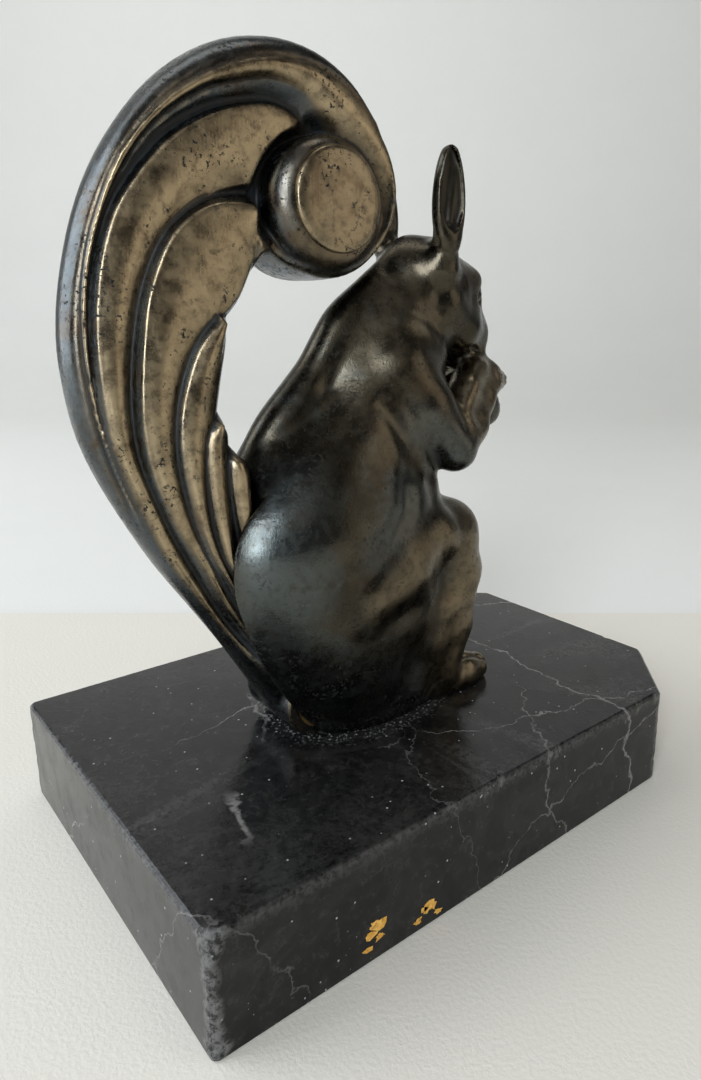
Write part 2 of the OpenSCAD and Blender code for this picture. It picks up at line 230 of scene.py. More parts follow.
def figure(p):
    x, y, z = p[0], np.abs(p[1]), p[2]
    q = (x, y, z)
    xc, a, b = [np.interp(z, TORSO[:, 0], TORSO[:, i]) for i in (1, 2, 3)]
    rho = np.sqrt((x - xc) ** 2 + y ** 2) + 1e-4
    unit = ((np.abs(x - xc) / a) ** 2.2 + (y / b) ** 2.2) ** (1 / 2.2) + 1e-4
    g = smax(rho - rho / unit, z - 124, 6)
    # spine ridge with a groove on each side
    g = smin(g, limb(q, SPINE, 2.5), 6.0)
    g = g + stroke(q, SPINE_GROOVE, 3.4, 0.9)
    # thigh, knee and shin
    for k, balls in HAUNCH:
        g = smin(g, limb(q, balls), k)
    g = smax(g, -egg(q, (37.6, 29.5, 41), (5.0, 5.8, 9.5), 22), 6)
    g = g + stroke(q, [(0.8, 25.5, 52), (2, 26, 46), (4, 26.4, 41), (9, 26.4, 36), (18, 26, 33.4),
                       (29, 24, 33), (36, 22.5, 35)], 4.2, 0.7)
    # hollow of the flank between the belly and the thigh
    g = g + stroke(q, [(24, 21, 71), (21, 23, 62), (15, 25, 55), (7, 26, 48)], 3.6, 1.2)
    g = g + stroke(q, [(33, 18, 66), (34, 18, 60), (39, 16, 58)], 4.0, 0.8)
    # shoulder, upper arm, forearm and paw
    arm = limb(q, [(31, 8.5, 97, 9.5), (37.5, 11.5, 87, 8.6), (46.2, 14.6, 75.2, 6.6)], 2.0)
    arm = smax(arm, 0.82 * (x - 46.3) - 0.18 * (y - 14) + 0.55 * (z - 93) - 1.2, 1.2)
    g = smin(g, arm, 3.5)
    fore = limb(q, [(47, 14.4, 74.8, 6.4), (54.5, 11.4, 81, 6.2), (61.5, 7.8, 88.2, 6), (69, 5, 92.4, 4.7),
                    (75.4, 3.6, 92, 3.2)], 2.5)
    fore = smin(fore, limb(q, [(55.5, 8.8, 86.5, 5), (60.5, 6.5, 92.5, 4.6), (66, 4.6, 95, 3.7)]), 5)
    fore = smin(fore, limb(q, [(50.5, 13.6, 83, 5.3), (56, 11.2, 89.8, 5.2), (62, 7.8, 94.6, 4.3)]), 5)
    fore = smax(fore, -limb(q, [(55, 20.7, 85.5, 4.2), (62, 17.7, 91, 4.6), (67, 14.2, 95.5, 3.4)]), 5)
    for dz in (0, 2.2, 4.4):
        fore = fore + stroke(q, [(71, 9, 95.4 - dz), (76, 7, 94.6 - dz), (79.6, 2.5, 93.4 - dz)], 0.8, 0.45)
    fore = smax(fore, 0.35 - y, 0.6)
    g = smin(g, fore, 1.4)
    g = g + stroke(q, [(20, 17.3, 89.5), (23, 18.6, 84), (26, 19.5, 78), (27, 20.3, 71)], 2.6, 1.2)
    g = g + stroke(q, [(29, 20, 77), (31, 19.5, 72), (36, 18.5, 69)], 3.0, 1.6)
    # head
    head = limb(q, [(46, 0, 121, 12.9), (56.6, 0, 118, 9.3), (64.2, 0, 107, 6), (64.2, 0, 102.2, 5)], 4.0)
    head = smin(head, limb(q, [(48, 5.8, 114, 8.3), (56.5, 5, 108.2, 6.4), (63, 2.6, 103.6, 4.6)]), 4.0)
    head = smin(head, bone(q, (53, 7.9, 120.3, 3.3), (60.2, 6.8, 121.9, 1.8)), 3.0)
    head = smax(head, -egg(q, (64, 8.8, 117.2), (3.8, 2.3, 2.8), 25), 1.0)
    head = smin(head, egg(q, (60.9, 6.5, 117.2), (2.9, 2.3, 2.2), 20), 0.5)
    head = smin(head, egg(q, (69.6, 0, 105.6), (2.1, 2.6, 1.7), 30), 1.0)
    head = head + stroke(q, [(70, 0, 100.4), (68, 4.2, 100.2), (63.2, 6.6, 101.4), (59, 8.2, 103)], 0.8, 0.8)
    head = head + stroke(q, [(71, 1.5, 104.6), (70.4, 2.6, 104.4)], 0.6, 0.6)
    head = smax(head, -egg(q, (46, 0, 140.6), (9.4, 9.5, 6.2)), 4)
    g = smin(g, head, 3.5)
    g = g + stroke(q, [(29, 11.5, 114.4), (33, 13, 113), (38, 13.8, 111), (42.5, 13.8, 106)], 1.6, 0.7)
    g = g + stroke(q, [(44, 12.4, 129), (43, 12.8, 121), (42, 12.9, 114)], 2.4, 0.6)
    # ears: a leaf with a hollow that faces outward and ends in a point
    g = smin(g, bone(q, (44.6, 10.2, 125, 5), (44.1, 13, 131.5, 3.2)), 4)
    u = (z - 128) / 26.5
    half = 5.2 * np.sqrt(held(4 * u * (1 - u))) * (1 - 0.12 * (2 * u - 1)) + 0.01
    ex, ey = x - 44.1 + 0.03 * (z - 128), y - 13.5 - 0.05 * (z - 128)
    leaf = smax(smax(np.abs(ex) - half, np.abs(ey) - 2.1, 2.4), np.abs(u - 0.5) * 26.5 - 13.2, 1.5)
    rim = half - 1.1 - 0.32 * np.maximum(139 - z, 0)
    inner = smax((np.abs(ex - 0.1) - rim) * 0.85, -0.9 + 0.16 * (ex + 2) ** 2 * 0.3 - ey, 0.9)
    inner = smax(inner, np.abs(z - 142) - 12, 1.0)
    leaf = smax(leaf, -inner, 0.5)
    leaf = smin(leaf, bone(q, (44.3, 13.2, 131, 0.9), (45.9, 13.6, 149, 0.5)), 1.6)
    g = smin(g, leaf, 2.2)
    # hind feet with three toes
    foot = limb(q, [(38, 13.4, 3, 6), (52, 13.4, 3.6, 5.6), (57.5, 13.4, 3.2, 4.6)])
    for dy in (-2.2, 2.2):
        foot = foot + stroke(q, [(50, 13.4 + dy, 9), (57, 13.4 + dy, 7.6), (62, 13.4 + dy, 3)], 0.9, 0.8)
    g = smin(g, foot, 1.6)
    # flat underside, and the slot that takes the tail
    slot = smax(y - SLOT_HALF, slot_side(x, z), 0.4)
    g = smax(g, -slot, 1.6)
    return smax(g, -z, 0.3)


# Height and X of the slot's front wall.
SLOT = np.array([[-1, 8.6], [6, 9.8], [13, 9.8], [21.5, 3.8], [31, -5.8], [45.5, -12.6], [60, -14.8],
                 [74.5, -14.9], [79, -16], [90, -19]])


def slot_side(x, z):
    """Negative behind the front wall of the slot."""
    return (x - np.interp(z, SLOT[:, 0], SLOT[:, 1])) * 0.85


# ---- The tail ----

def to_curve(u, v, pts):
    """Distance to an open curve, and the place of the nearest point along it, 0 to 1."""
    p = np.asarray(pts, float)
    best = np.full(u.shape, 1e9)
    place = np.zeros(u.shape)
    run = np.r_[0, np.cumsum(np.hypot(*np.diff(p, axis=0).T))]
    for i in range(len(p) - 1):
        dx, dz = p[i + 1] - p[i]
        t = held(((u - p[i, 0]) * dx + (v - p[i, 1]) * dz) / (dx * dx + dz * dz))
        d = (u - p[i, 0] - t * dx) ** 2 + (v - p[i, 1] - t * dz) ** 2
        m = d < best
        best = np.where(m, d, best)
        place = np.where(m, (run[i] + t * (run[i + 1] - run[i])) / run[-1], place)
    return np.sqrt(best), place


def to_polygon(u, v, pts):
    """Signed distance to a closed outline, negative inside."""
    p = np.asarray(pts, float)
    best = np.full(u.shape, 1e9)
    inside = np.zeros(u.shape, bool)
    for a, b in zip(p, np.roll(p, -1, 0)):
        dx, dz = b - a
        t = held(((u - a[0]) * dx + (v - a[1]) * dz) / (dx * dx + dz * dz + 1e-9))
        best = np.minimum(best, (u - a[0] - t * dx) ** 2 + (v - a[1] - t * dz) ** 2)
        if a[1] != b[1]:
            inside ^= ((a[1] > v) != (b[1] > v)) & (u < a[0] + (v - a[1]) * dx / dz)
    return np.sqrt(best) * np.where(inside, -1, 1)


def arc(centre, turns, radii):
    """Points round a centre (x, z) at the given turns, in degrees."""
    return [(centre[0] + r * math.cos(math.radians(a)), centre[1] + r * math.sin(math.radians(a)))
            for a, r in zip(turns, radii)]


SCROLL = (7.6, 142.0)  # what the tail's end rolls round
DRUM = (8.3, 138.0)  # the roundel and the top of the drum
BUN = (7.4, 137.2)  # the drum's foot
BUN_R = 15.2  # radius of its foot
BUN_TOP = 14.3  # half the drum's length
BUN_FLAT = (9.6, 9.0)  # radius and distance from the middle where its round edge starts
BUN_EDGE = 5.8  # radius of that edge
CROWN = smooth([(-7.8, 4.6), (-12.6, 13), (-20.8, 27.2), (-29.8, 41.5), (-38, 54.5), (-46.4, 70.5), (-52, 85),
                (-54, 99), (-53.8, 110), (-51.5, 122), (-47, 135.5), (-40, 148), (-30, 160), (-18, 168.5),
                (-6, 172), (6, 171), (16, 166), (23.6, 158)], 4)
ROLL = arc(SCROLL, range(36, -136, -6), np.interp(range(29), [0, 6, 16, 28], [21.8, 22.4, 22, 21.4]))
FRONT = smooth([(-9.6, 124.6), (-11.5, 121), (-14, 115.5), (-17, 111.6), (-19.3, 109.8), (-19.4, 106),
                (-20, 100), (-21, 92), (-21.8, 87.4), (-20, 85), (-19, 80), (-17, 78), (-15.5, 74.5),
                (-15.3, 60), (-13.2, 45), (-6.6, 30), (2.4, 20.5), (7, 15)], 3)
HEEL = arc((0, HINGE), range(36, -150, -6), [HEEL_R] * 31)
OUTLINE = np.vstack([CROWN, ROLL, FRONT, HEEL])

# Each lock: its outer crest and its inner edge from root to tip, with the half thickness at points along
# them, and how steeply it falls away outside each.
LOCKS = [
    dict(crest=[(-38.6, 57.4), (-41.4, 62.4), (-46.3, 76), (-49.5, 88), (-50.6, 97), (-51, 105),
           (-50.7, 113.6), (-49, 122.8), (-46, 132), (-40.5, 143.6), (-31.5, 153.8), (-25.5, 158.4),
           (-18.9, 162.2), (-12.2, 164.9), (-5.6, 166.4), (2.2, 166.6), (10, 164.6), (17.1, 160.5),
           (22.1, 154.9), (25.4, 148.4), (26.2, 141), (24.3, 133.4), (19, 127.4), (11.7, 124.2),
           (4.3, 124.2), (-2.5, 126.4), (-8.6, 127.4)],
         high=[4.4, 5.8, 5.8, 5.8, 5.8, 6.2, 7.6, 9.4, 11, 11.8, 11.8, 11.8, 11.8, 11.8, 11.8],
         edge=[(-38, 57.8), (-39.6, 62), (-43, 69.3), (-45.5, 75.4), (-48.3, 85), (-49.6, 95), (-50, 103),
           (-49.6, 110), (-48.6, 118.4), (-46.4, 127), (-42.6, 136), (-36.8, 145.3), (-31, 151.5),
           (-22.1, 157.6), (-15.5, 160), (-9.8, 161.6), (-4.6, 162.2), (1.7, 160.9), (5.2, 158.4),
           (8, 154.8), (9.5, 151), (8.5, 144), (7.5, 138)],
         low=[4.4, 5.2, 5.2, 5.2, 5.3, 5.6, 6.4, 8, 9.8, 11.2, 11.6], out=0.42, fall=1.7),
    dict(crest=[(-14, 19), (-21.5, 30), (-28.5, 41), (-34.4, 51), (-38.4, 59), (-41.2, 66.3), (-44.3, 74.5),
           (-47.2, 84), (-48.4, 95), (-48.6, 105), (-48, 112.7), (-46.4, 121.2), (-44.1, 128.2),
           (-41.6, 133.5), (-38.2, 138.3), (-33.8, 143.4), (-28.7, 148.1), (-20.8, 152.9), (-13.2, 155.7),
           (-6, 157.1), (-0.4, 155.9), (3.7, 153)],
         high=[3.6, 4.2, 5.4, 6.8, 7.8, 8, 8, 8, 8, 8, 8.2, 8.6, 9, 9],
         edge=[(-11.5, 19), (-18.5, 30), (-25.3, 41), (-30.2, 51), (-33.5, 57.8), (-36.8, 65.9),
           (-39.4, 73.6), (-41.9, 81.6), (-42.6, 89.6), (-42.2, 98), (-41, 106), (-39, 113.5),
           (-36.3, 120.5), (-33.2, 125.8), (-29.6, 130.4), (-25.6, 134), (-21.4, 136.8), (-17.8, 138.8),
           (-13, 140.2), (-9.1, 141.1), (-6.5, 142.4), (-2.6, 145.2), (1, 149)],
         low=[4.4, 4.8, 5.6, 6.4, 7, 7.2, 7.2, 7.2, 7.2, 7.3, 7.5, 7.5], out=1.9, fall=1.6),
    dict(crest=[(-10, 19), (-17, 30), (-23.8, 41), (-28.6, 51), (-31.4, 56.7), (-35, 63.7), (-37.6, 70.4),
           (-39.8, 77.4), (-41, 85), (-41.2, 92), (-40.6, 99), (-39.4, 107.3), (-37.8, 115), (-35, 122),
           (-32.2, 127), (-29.2, 130.4), (-25, 133.4), (-20.5, 135.3), (-15, 135.8), (-10.5, 135.4)],
         high=[5.5, 6.6, 7.8, 9.2, 10.2, 10.4, 10.4, 10.4, 10.4, 10.2],
         edge=[(-7.5, 19), (-14.5, 30), (-20.8, 41), (-25.8, 51.6), (-29, 59.2), (-31.6, 66.4),
           (-33.2, 73.2), (-34, 80), (-33.8, 86.5), (-33, 92.4), (-31.4, 98.3), (-28.8, 104), (-25.2, 108.6),
           (-20.6, 112), (-17, 115.6), (-14.6, 119.4), (-12.6, 123.4), (-11, 127), (-9.8, 130.6),
           (-9, 133.8)],
         low=[6, 6.8, 7.6, 8.6, 9.4, 9.6, 9.6, 9.6, 9.6, 9.6], out=2.2, fall=1.5),
    dict(crest=[(-6.5, 20), (-13.2, 30), (-19.8, 41), (-24.8, 50.4), (-27.6, 55.6), (-29.2, 60),
           (-30.8, 65.2), (-32.2, 72), (-33.2, 78.6), (-33.4, 85), (-32.7, 91.1), (-30.9, 97.1),
           (-28.4, 103.1), (-25.4, 107.4), (-22, 110.8)],
         high=[7.6, 8.8, 10, 11, 11.4, 11.4, 11.4],
         edge=[(-4.5, 20), (-11.3, 30), (-17.8, 41), (-22.4, 49.6), (-25.2, 56), (-27, 62), (-27.8, 68),
           (-28.2, 73), (-28, 78), (-27.4, 83), (-25.8, 88), (-24.8, 93), (-23.2, 99), (-21.5, 104),
           (-20, 109)],
         low=[8, 9, 9.8, 10.4, 10.8, 10.6, 10.2], out=2.2, fall=1.2),
    dict(crest=[(-4, 21), (-10.5, 30), (-17.2, 41), (-21.8, 49.4), (-24.4, 55), (-26, 62), (-27, 68.5),
           (-27.4, 75), (-27.4, 80.5), (-26.8, 84.9), (-24.6, 87.6)],
         high=[9, 10.2, 11.2, 11.4, 11.4],
         edge=[(-2.5, 21), (-9, 30), (-15.5, 41), (-19.4, 48.6), (-21.4, 54), (-22.2, 60), (-22.6, 67),
           (-22.9, 74), (-22.9, 79.4), (-22.6, 84), (-22.2, 87)],
         low=[9, 10, 10.8, 10.8], out=2.4, fall=1.2),
    dict(crest=[(-9, 33), (-14.8, 43), (-17.4, 50), (-19.2, 58), (-20.6, 64), (-21.4, 70.6), (-21.7, 75),
           (-21.3, 78.6), (-19.2, 80)],
         high=[10.2, 11.2, 11.4, 11.4],
         edge=[(-7, 33), (-12.4, 43), (-13.8, 50), (-15.3, 60), (-15.9, 66), (-16.2, 74), (-17, 77.6)],
         low=[10.2, 10.8, 10.8], out=2.4, fall=1.2),
]

# The tail's side relief is worked out once on a fine grid.
TAIL_LOW, TAIL_HIGH, TAIL_STEP = (-58.0, -3.0), (34.0, 176.0), 0.25
tail_u, tail_v = np.meshgrid(np.arange(TAIL_LOW[0], TAIL_HIGH[0], TAIL_STEP),
                             np.arange(TAIL_LOW[1], TAIL_HIGH[1], TAIL_STEP), indexing="ij")


def tail_relief():
    """Signed distance to the outline, half thickness, and how far each place is a lock's face or the rim."""
    u, v = tail_u, tail_v
    flat = to_polygon(u, v, OUTLINE)
    _, s = to_curve(u, v, np.vstack([CROWN, ROLL]))
    rim = np.interp(s, [0, 0.1, 0.55, 0.66, 0.74, 0.82, 1], [4.2, 3.4, 3.0, 4.2, 8.5, 10.6, 11])
    inner = np.maximum(-flat, 0)
    relief = np.minimum(3.2 + 0.3 * inner, 5)
    face = np.zeros(u.shape)
    soft = 0.45 + 1.5 * held((v - 125) / 25)
    for n, lock in enumerate(LOCKS):
        crest, edge = smooth(lock["crest"], 3), smooth(lock["edge"], 3)
        out = to_polygon(u, v, np.vstack([crest, edge[::-1]]))
        dc, pc = to_curve(u, v, crest)
        de, pe = to_curve(u, v, edge)
        hc = np.interp(pc, np.linspace(0, 1, len(lock["high"])), lock["high"])
        he = np.interp(pe, np.linspace(0, 1, len(lock["low"])), lock["low"])
        w = dc / (dc + de + 1e-3)
        top = hc * (1 - w) + he * w + 1.4 * np.sin(np.pi * w)
        h = top - (lock["out"] * (1 - w) + lock["fall"] * w) * np.maximum(out, 0)
        if n == 0:
            # the rim rolls over from its thin edge to the first crest
            t = inner / (inner + dc + 1e-3)
            roll = rim + (hc - rim) * np.sqrt(held(t * (2 - t)))
            h = np.where((out > 0) & (dc < de) & (pc < 0.97), roll, h)
            on_rim = np.where(out > 0, dc, 0)
        relief = smax(relief, h, soft)
        lit = held((0.5 - out) / 1.7)
        face = np.where(h > relief - 0.5, lit, face)
    # the drum stands in a hollow, which is a deep gap on the side of the locks' tips
    r = np.hypot(u - BUN[0], v - BUN[1])
    turn = np.degrees(np.arctan2(v - BUN[1], u - BUN[0]))
    deep = np.interp(turn, [-180, -150, -132, -112, -60, 0, 60, 90, 120, 150, 180],
                     [4.8, 4.8, 3, 0.6, 0.8, 2, 2.6, 3.2, 4.4, 4.8, 4.8])
    wide = np.interp(turn, [-180, -150, -120, -60, 0, 90, 115, 180], [4, 6, 5, 4, 5.5, 6, 3, 4])
    gap = held(1 - (np.maximum(r - BUN_R, 0) / wide) ** 2) ** 2
    relief = np.maximum(relief - deep * gap, 4.5)
    # the cove round the drum is smoothed where no lock's tip stands over it
    turn = turn % 360
    soft = np.interp(turn, [0, 15, 35, 100, 122, 200, 215, 250, 270, 360], [0, 0, 1, 1, 0, 0, 1, 1, 0, 0])
    soft = soft * held((24 - r) / 4)
    calm, calm_face = relief.copy(), face.copy()
    for a in (calm, calm_face):
        for _ in range(60):
            a[1:-1] = 0.25 * a[:-2] + 0.5 * a[1:-1] + 0.25 * a[2:]
            a[:, 1:-1] = 0.25 * a[:, :-2] + 0.5 * a[:, 1:-1] + 0.25 * a[:, 2:]
    relief = relief + (calm - relief) * soft
    face = face + (calm_face - face) * soft
    # towards the root the locks sink into one smooth wedge
    root = held((v - 20) / 18)
    root = root * root * (3 - 2 * root)
    t = held(inner / 15)
    relief = relief * root + (4.4 + 7 * np.sqrt(t * (2 - t))) * (1 - root)
    return flat, relief, face * (1 - gap) * root, held(on_rim / 2)


tail_flat, tail_height, tail_face, tail_rim = tail_relief()


def on_grid(a, x, z):
    """Value of a tail grid at (x, z)."""
    i = np.clip((x - TAIL_LOW[0]) / TAIL_STEP, 0, a.shape[0] - 1.001)
    j = np.clip((z - TAIL_LOW[1]) / TAIL_STEP, 0, a.shape[1] - 1.001)
    m, n = i.astype(int), j.astype(int)
    s, t = i - m, j - n
    return (a[m, n] * (1 - s) + a[m + 1, n] * s) * (1 - t) + (a[m, n + 1] * (1 - s) + a[m + 1, n + 1] * s) * t


def tail(p):
    x, y, z = p[0], np.abs(p[1]), p[2]
    flat = on_grid(tail_flat, x, z)
    h = on_grid(tail_height, x, z)
    # the rolled end is crowned across and has a crisper edge than the rest
    rolled = held((z - 118) / 8) * held((x + 8) / 10)
    flat = flat + rolled * 1.7 * (y / 12) ** 2
    body = smax(flat, (y - h) * 0.8, 1.2 + 2.2 * (1 - rolled))
    # the drum, a bun between the band and the roundel, which leans over from its foot
    lean = held((15 - y) / 6)
    dx = x - DRUM[0] + (DRUM[0] - BUN[0]) * lean
    dz = z - DRUM[1] + (DRUM[1] - BUN[1]) * lean
    q = np.sqrt(dx ** 2 + dz ** 2) - BUN_FLAT[0]
    drum = np.sqrt(np.maximum(q, 0) ** 2 + np.maximum(y - BUN_FLAT[1], 0) ** 2) - BUN_EDGE
    body = smin(body, smax(drum, y - BUN_TOP, 0.5), 0.5)
    axle = np.sqrt(x ** 2 + (z - HINGE) ** 2)
    body = smin(body, smax(axle - HEEL_R, y - HEEL_HALF, 0.6), 1.0)
    return smax(body, HEEL_BORE - axle, 0.1)


# ---- Pieces ----

def split(v, q, field, regions):
    """Sorts the faces into the first region each lies in, and draws the borders onto the regions' edges."""
    mid = v[q].mean(1)
    label = np.full(len(q), len(regions))
    for i, (_, inside) in reversed(list(enumerate(regions))):
        label[inside(mid) < 0] = i
    for i, (_, inside) in enumerate(regions):
        a = np.zeros(len(v), bool)
        b = np.zeros(len(v), bool)
        a[q[label == i].ravel()] = True
        b[q[label > i].ravel()] = True
        edge = np.where(a & b)[0]
        if len(edge):
            w = v[edge]
            for _ in range(3):
                s = inside(w)
                g = np.stack([(inside(w + e) - inside(w - e)) / 0.2 for e in np.eye(3) * 0.1], 1)
                move = -(s / np.maximum((g ** 2).sum(1), 0.05))[:, None] * g
                w = w + np.clip(move, -0.4, 0.4)
                w = settle(field, w, 0.3, 1)
            v[edge] = w
    return v, label


def normals(v, q):
    """Unit normals at the vertices of a mesh of four-sided faces."""
    n = np.cross(v[q[:, 2]] - v[q[:, 0]], v[q[:, 3]] - v[q[:, 1]])
    out = np.zeros_like(v)
    for i in range(4):
        np.add.at(out, q[:, i], n)
    return out / np.maximum(np.linalg.norm(out, axis=1, keepdims=True), 1e-9)


def take(v, q, keep):
    """The kept faces with only their own vertices, and with each open border closed by a cap."""
    f = q[keep]
    used, f = np.unique(f, return_inverse=True)
    f = f.reshape(-1, 4)
    w = v[used]
    pairs = np.vstack([f[:, [i, (i + 1) % 4]] for i in range(4)])
    code = pairs[:, 0].astype(np.int64) * len(w) + pairs[:, 1]
    back = pairs[:, 1].astype(np.int64) * len(w) + pairs[:, 0]
    border = pairs[~np.isin(code, back)]
    follow = {}
    for a, b in border:
        follow.setdefault(a, []).append(b)
    caps, extra = [], []
    while follow:
        start = next(iter(follow))
        loop, at = [start], start
        while at in follow:
            nxt = follow[at].pop()
            if not follow[at]:
                del follow[at]
            if nxt == start:
                break
            loop.append(nxt)
            at = nxt
        if len(loop) > 2:
            c = len(w) + len(extra)
            extra.append(w[loop].mean(0))
            caps += [(b, a, c, c) for a, b in zip(loop, loop[1:] + loop[:1])]
    if extra:
        w = np.vstack([w, extra])
    return w, f, caps, used


# A region is a function of points that is negative inside.

def plane(at, normal):
    n = np.array(normal, float) / np.linalg.norm(normal)
    return lambda w: (w - np.array(at)) @ n


def both(*parts):
    return lambda w: np.max([p(w) for p in parts], axis=0)


def region(field):
    return lambda w: field([w[:, 0], w[:, 1], w[:, 2]])


ARM = [(33, 18, 96, 7), (38, 17, 88, 8.5), (47, 16, 75, 9), (60, 11, 86, 11), (76, 6, 91, 9)]


def arm_region(side):
    return both(region(lambda p: limb([p[0], p[1] * side, p[2]], ARM, 3)), lambda w: 0.2 - w[:, 1] * side)


def ear_region(side):
    return both(plane((45, 0, 129.5), (0, 0, -1)), plane((0, 5 * side, 0), (0, -side, 0)))


def foot_region(side):
    return both(plane((47, 0, 0), (-1, 0, 0.6)), plane((0, 0, 10), (0, 0, 1)),
                plane((0, side, 0), (0, -side, 0)))


REGIONS = [
    ("left_ear", ear_region(1)),
    ("right_ear", ear_region(-1)),
    ("head", both(plane((42, 0, 112), (-0.75, 0, -0.55)), plane((50, 0, 97.5), (0, 0, -1)))),
    ("left_foreleg", arm_region(1)),
    ("right_foreleg", arm_region(-1)),
    ("left_foot", foot_region(1)),
    ("right_foot", foot_region(-1)),
    ("body", lambda w: np.full(len(w), -1.0)),
]


# ---- Materials ----

class Paint:
    """A material made from noise in object coordinates and from the mesh's attributes."""

    def __init__(self, name):
        self.m = bpy.data.materials.new(name)
        self.m.use_nodes = True
        self.tree = self.m.node_tree
        self.shader = self.tree.nodes["Principled BSDF"]
        self.at = self.node("ShaderNodeTexCoord").outputs["Object"]

    def node(self, kind, **props):
        n = self.tree.nodes.new(kind)
        for key, val in props.items():
            setattr(n, key, val)
        return n

    def put(self, socket, value):
        if isinstance(value, bpy.types.NodeSocket):
            self.tree.links.new(value, socket)
        elif isinstance(value, tuple) and len(value) == 3 and socket.type == "RGBA":
            socket.default_value = (*value, 1)
        else:
            socket.default_value = value

    def math(self, kind, a, b=0.0, clamp=False):
        n = self.node("ShaderNodeMath", operation=kind, use_clamp=clamp)
        self.put(n.inputs[0], a)
        self.put(n.inputs[1], b)
        return n.outputs[0]

    def times(self, a, b):
        return self.math("MULTIPLY", a, b)

    def plus(self, a, b, clamp=False):
        return self.math("ADD", a, b, clamp)

    def most(self, a, b, clamp=False):
        return self.math("MAXIMUM", a, b, clamp)

    def ramp(self, a, low, high, to=(0.0, 1.0)):
        n = self.node("ShaderNodeMapRange", interpolation_type="SMOOTHSTEP")
        for i, val in enumerate((a, low, high, *to)):
            self.put(n.inputs[i], val)
        return n.outputs[0]

    def mix(self, t, a, b):
        n = self.node("ShaderNodeMix", data_type="RGBA")
        self.put(n.inputs[0], t)
        self.put(n.inputs[6], a)
        self.put(n.inputs[7], b)
        return n.outputs[2]

    def stretch(self, x, y, z):
        n = self.node("ShaderNodeMapping")
        self.put(n.inputs[0], self.at)
        n.inputs[3].default_value = (x, y, z)
        return n.outputs[0]

    def noise(self, size, detail=3.0, rough=0.55, warp=0.0, at=None):
        """Noise with features about size millimetres across."""
        n = self.node("ShaderNodeTexNoise")
        self.put(n.inputs["Vector"], at or self.at)
        n.inputs["Scale"].default_value = 1000 / size
        n.inputs["Detail"].default_value = detail
        n.inputs["Roughness"].default_value = rough
        n.inputs["Distortion"].default_value = warp
        return n.outputs[0]

    def cells(self, size):
        """Distance to the nearest of a scatter of points about size millimetres apart."""
        n = self.node("ShaderNodeTexVoronoi")
        self.put(n.inputs["Vector"], self.at)
        n.inputs["Scale"].default_value = 1000 / size
        return n.outputs["Distance"]

    def attribute(self, name):
        return self.node("ShaderNodeAttribute", attribute_name=name).outputs["Fac"]

    def bump(self, height, strength, depth, under=None):
        n = self.node("ShaderNodeBump")
        n.inputs["Strength"].default_value = strength
        n.inputs["Distance"].default_value = depth
        self.put(n.inputs["Height"], height)
        if under:
            self.put(n.inputs["Normal"], under)
        return n.outputs[0]

    def finish(self, **sockets):
        for key, val in sockets.items():
            self.put(self.shader.inputs[key.replace("_", " ")], val)
        return self.m


def bronze(name, dark, brown, worn, cool, pitted, patchy):
    """Patinated cast bronze: dark in hollows, worn to metal on faces and edges, stained and pitted; the gold
    and cool marks also carry painted light and a painted sheen.
    """
    p = Paint(name)
    gold, rise, blue = p.attribute("gold"), p.attribute("rise"), p.attribute("cool")
    cloud, fine, grit = p.noise(22, 4, 0.6, 0.6), p.noise(4, 4, 0.65), p.noise(0.7, 3, 0.7)
    base = p.mix(p.ramp(cloud, 0.3, 0.72), dark, brown)
    base = p.mix(p.times(p.ramp(p.noise(11, 3, 0.6, 1.0), 0.5, 0.75), 0.4), base, cool)
    # the cool marks: green patina and the cool rim, with a painted sheen on the rear haunch
    base = p.mix(p.times(blue, 0.85), base, cool)
    # the gold marks: rubbed wear, with painted light on the lit knee and shin
    wear = p.plus(gold, p.times(p.ramp(rise, 0.05, 0.55), 0.55 * pitted ** 2), True)
    wear = p.times(wear, p.ramp(fine, 0.25, 0.6, (0.62, 1.0)))
    wear = p.times(wear, p.ramp(p.noise(8, 4, 0.65, 0.8), 0.32, 0.6, (patchy, 1.0)))
    col = p.mix(wear, base, worn)
    col = p.mix(p.times(p.ramp(p.noise(2.2, 3, 0.6), 0.48, 0.72), 0.5), col, dark)
    stain = p.times(p.ramp(p.noise(15, 4, 0.65, 1.2), 0.5, 0.7), 0.5 * pitted)
    col = p.mix(stain, col, (0.085, 0.055, 0.032))
    # pits gather in patches; a few stand alone
    patch = p.ramp(p.noise(9, 3, 0.6, 0.4), 0.48, 0.62)
    pits = p.times(p.ramp(p.noise(0.9, 2, 0.6), 0.56, 0.62), patch)
    lone = p.ramp(p.cells(2.6), 0.1, 0.06)
    lone = p.times(lone, p.ramp(fine, 0.5, 0.56))
    pits = p.times(p.most(pits, lone), pitted)
    hollow = p.ramp(rise, -0.04, -0.4)
    shade = p.most(pits, p.times(hollow, 0.3 + 0.55 * pitted), True)
    col = p.mix(shade, col, (0.006, 0.005, 0.004))
    rough = p.ramp(fine, 0.3, 0.7, (0.20, 0.34))
    rough = p.plus(rough, p.times(shade, 0.3))
    rough = p.plus(rough, p.times(wear, 0.06))
    brushed = p.noise(0.5, 2, 0.6, 0, p.stretch(1, 1, 0.08))
    skin = p.bump(brushed, 0.12, 0.0002, p.bump(grit, 0.18, 0.0002, p.bump(pits, -0.35, 0.0003)))
    return p.finish(Base_Color=col, Metallic=p.ramp(shade, 0, 1, (1.0, 0.45)), Roughness=rough, Normal=skin)


